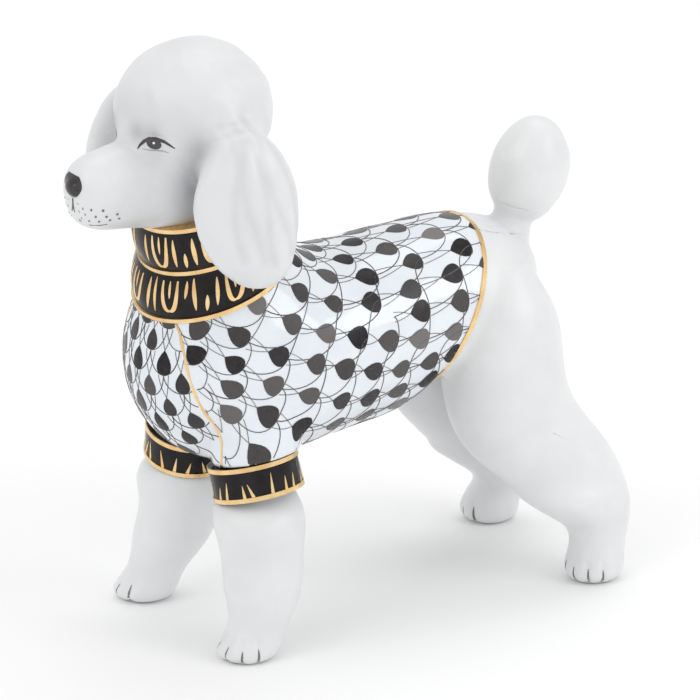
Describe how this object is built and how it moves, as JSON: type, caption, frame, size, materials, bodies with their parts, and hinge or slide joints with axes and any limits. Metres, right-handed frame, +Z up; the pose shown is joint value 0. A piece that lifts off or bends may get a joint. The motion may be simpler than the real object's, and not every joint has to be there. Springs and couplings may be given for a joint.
{
  "type": "ceramic dog figurine",
  "caption": "Standing poodle figurine in a roll-collar sweater, hollow glazed porcelain with painted fish-scale decoration, black enamel collar and cuffs, and fired gold lines",
  "frame": {"origin": "on the floor plane, in the middle of the figure's length and width", "axes": "+Z up; the dog looks along -Y; +X is the dog's left side"},
  "size_m": [0.047, 0.1054, 0.1092],
  "materials": {
    "white_glaze": "glossy clear glaze on white porcelain, softly shaded grey by hand",
    "scale_glaze": "glossy glaze over hand-painted dark grey fish scales on a faintly blue white",
    "black_enamel": "glossy black enamel with painted gold strokes",
    "fired_gold": "thin fired gold, bright, slightly uneven",
    "eye_enamel": "glossy black-brown enamel"
  },
  "bodies": {
    "root": {"sweater_body": "scale_glaze", "hindquarters": "white_glaze", "head": "white_glaze", "left_ear": "white_glaze", "right_ear": "white_glaze", "left_front_leg": "white_glaze", "right_front_leg": "white_glaze", "left_hind_leg": "white_glaze", "right_hind_leg": "white_glaze", "tail_stalk": "white_glaze", "tail_pompom": "white_glaze", "collar_lower_roll": "black_enamel", "collar_upper_roll": "black_enamel", "left_cuff": "black_enamel", "right_cuff": "black_enamel", "nose": "eye_enamel", "left_eye": "eye_enamel", "right_eye": "eye_enamel", "collar_bottom_gold": "fired_gold", "collar_middle_gold": "fired_gold", "collar_top_gold": "fired_gold", "hem_gold": "fired_gold", "left_cuff_top_gold": "fired_gold", "right_cuff_top_gold": "fired_gold", "left_cuff_bottom_gold": "fired_gold", "right_cuff_bottom_gold": "fired_gold"}
  },
  "joints": []
}
